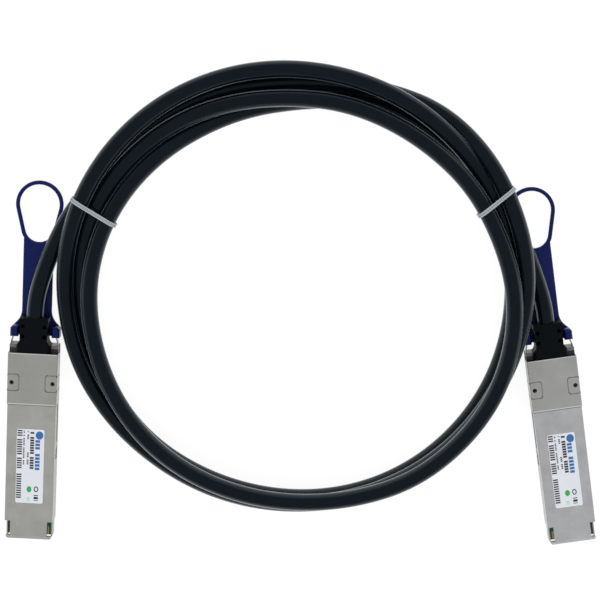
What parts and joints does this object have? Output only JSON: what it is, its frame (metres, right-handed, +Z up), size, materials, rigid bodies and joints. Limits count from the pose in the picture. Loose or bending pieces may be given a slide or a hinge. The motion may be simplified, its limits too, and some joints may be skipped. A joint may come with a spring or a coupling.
{
  "type": "direct attach copper cable",
  "caption": "Black passive copper cable wound into a flat ring and tied, with a pluggable metal connector, strain-relief boot and blue pull tab at each end.",
  "frame": {"origin": "on the table, under the middle of the two connectors' common box", "axes": "+Z up; +Y from the connectors' noses towards the coil; +X from connector a to connector b"},
  "size_m": [0.226, 0.1842, 0.019],
  "materials": {
    "cast_metal": "satin nickel on a zinc casting",
    "collar_steel": "satin stamped sheet",
    "pin_steel": "dull",
    "spring_steel": "bright",
    "blue_plastic": "satin moulded",
    "card_green": "solder mask",
    "gold": "plated",
    "hot_melt": "satin",
    "pair_foil": "satin",
    "ferrule_metal": "satin",
    "black_rubber": "satin moulded",
    "label_paper": "satin sticker",
    "cable_jacket": "glossy jacket",
    "tie_nylon": "natural nylon"
  },
  "bodies": {
    "housing": {"base_shell_a": "cast_metal", "lid_a": "cast_metal", "rear_collar_a": "collar_steel", "housing_pins_a": "pin_steel", "return_spring_left_a": "spring_steel", "return_spring_right_a": "spring_steel", "paddle_card_a": "card_green", "contact_pads_a": "gold", "solder_mould_a": "hot_melt", "crimp_ferrule_a": "ferrule_metal", "boot_a": "black_rubber", "label_a": "label_paper", "twinax_pair_1_a": "pair_foil", "twinax_pair_2_a": "pair_foil", "twinax_pair_3_a": "pair_foil", "twinax_pair_4_a": "pair_foil", "twinax_pair_5_a": "pair_foil", "twinax_pair_6_a": "pair_foil", "twinax_pair_7_a": "pair_foil", "twinax_pair_8_a": "pair_foil", "base_shell_b": "cast_metal", "lid_b": "cast_metal", "rear_collar_b": "collar_steel", "housing_pins_b": "pin_steel", "return_spring_left_b": "spring_steel", "return_spring_right_b": "spring_steel", "paddle_card_b": "card_green", "contact_pads_b": "gold", "solder_mould_b": "hot_melt", "crimp_ferrule_b": "ferrule_metal", "boot_b": "black_rubber", "label_b": "label_paper", "twinax_pair_1_b": "pair_foil", "twinax_pair_2_b": "pair_foil", "twinax_pair_3_b": "pair_foil", "twinax_pair_4_b": "pair_foil", "twinax_pair_5_b": "pair_foil", "twinax_pair_6_b": "pair_foil", "twinax_pair_7_b": "pair_foil", "twinax_pair_8_b": "pair_foil", "cable_coil": "cable_jacket", "cable_tail_a": "cable_jacket", "cable_tail_b": "cable_jacket", "tie_left": "tie_nylon", "tie_right": "tie_nylon"},
    "latch_a": {"latch_slider_a": "spring_steel", "pull_tab_a": "blue_plastic"},
    "latch_b": {"latch_slider_b": "spring_steel", "pull_tab_b": "blue_plastic"}
  },
  "joints": [
    {"name": "pull_tab_a_slide", "type": "slide", "parent": "housing", "child": "latch_a", "axis": [0.0523, 0.9986, 0], "range_m": [0, 0.003], "stiffness_N_per_m": 1200, "springref_m": -0.001, "deforming": ["return_spring_left_a", "return_spring_right_a"]},
    {"name": "pull_tab_b_slide", "type": "slide", "parent": "housing", "child": "latch_b", "axis": [-0.1418, 0.9899, 0], "range_m": [0, 0.003], "stiffness_N_per_m": 1200, "springref_m": -0.001, "deforming": ["return_spring_left_b", "return_spring_right_b"]}
  ]
}
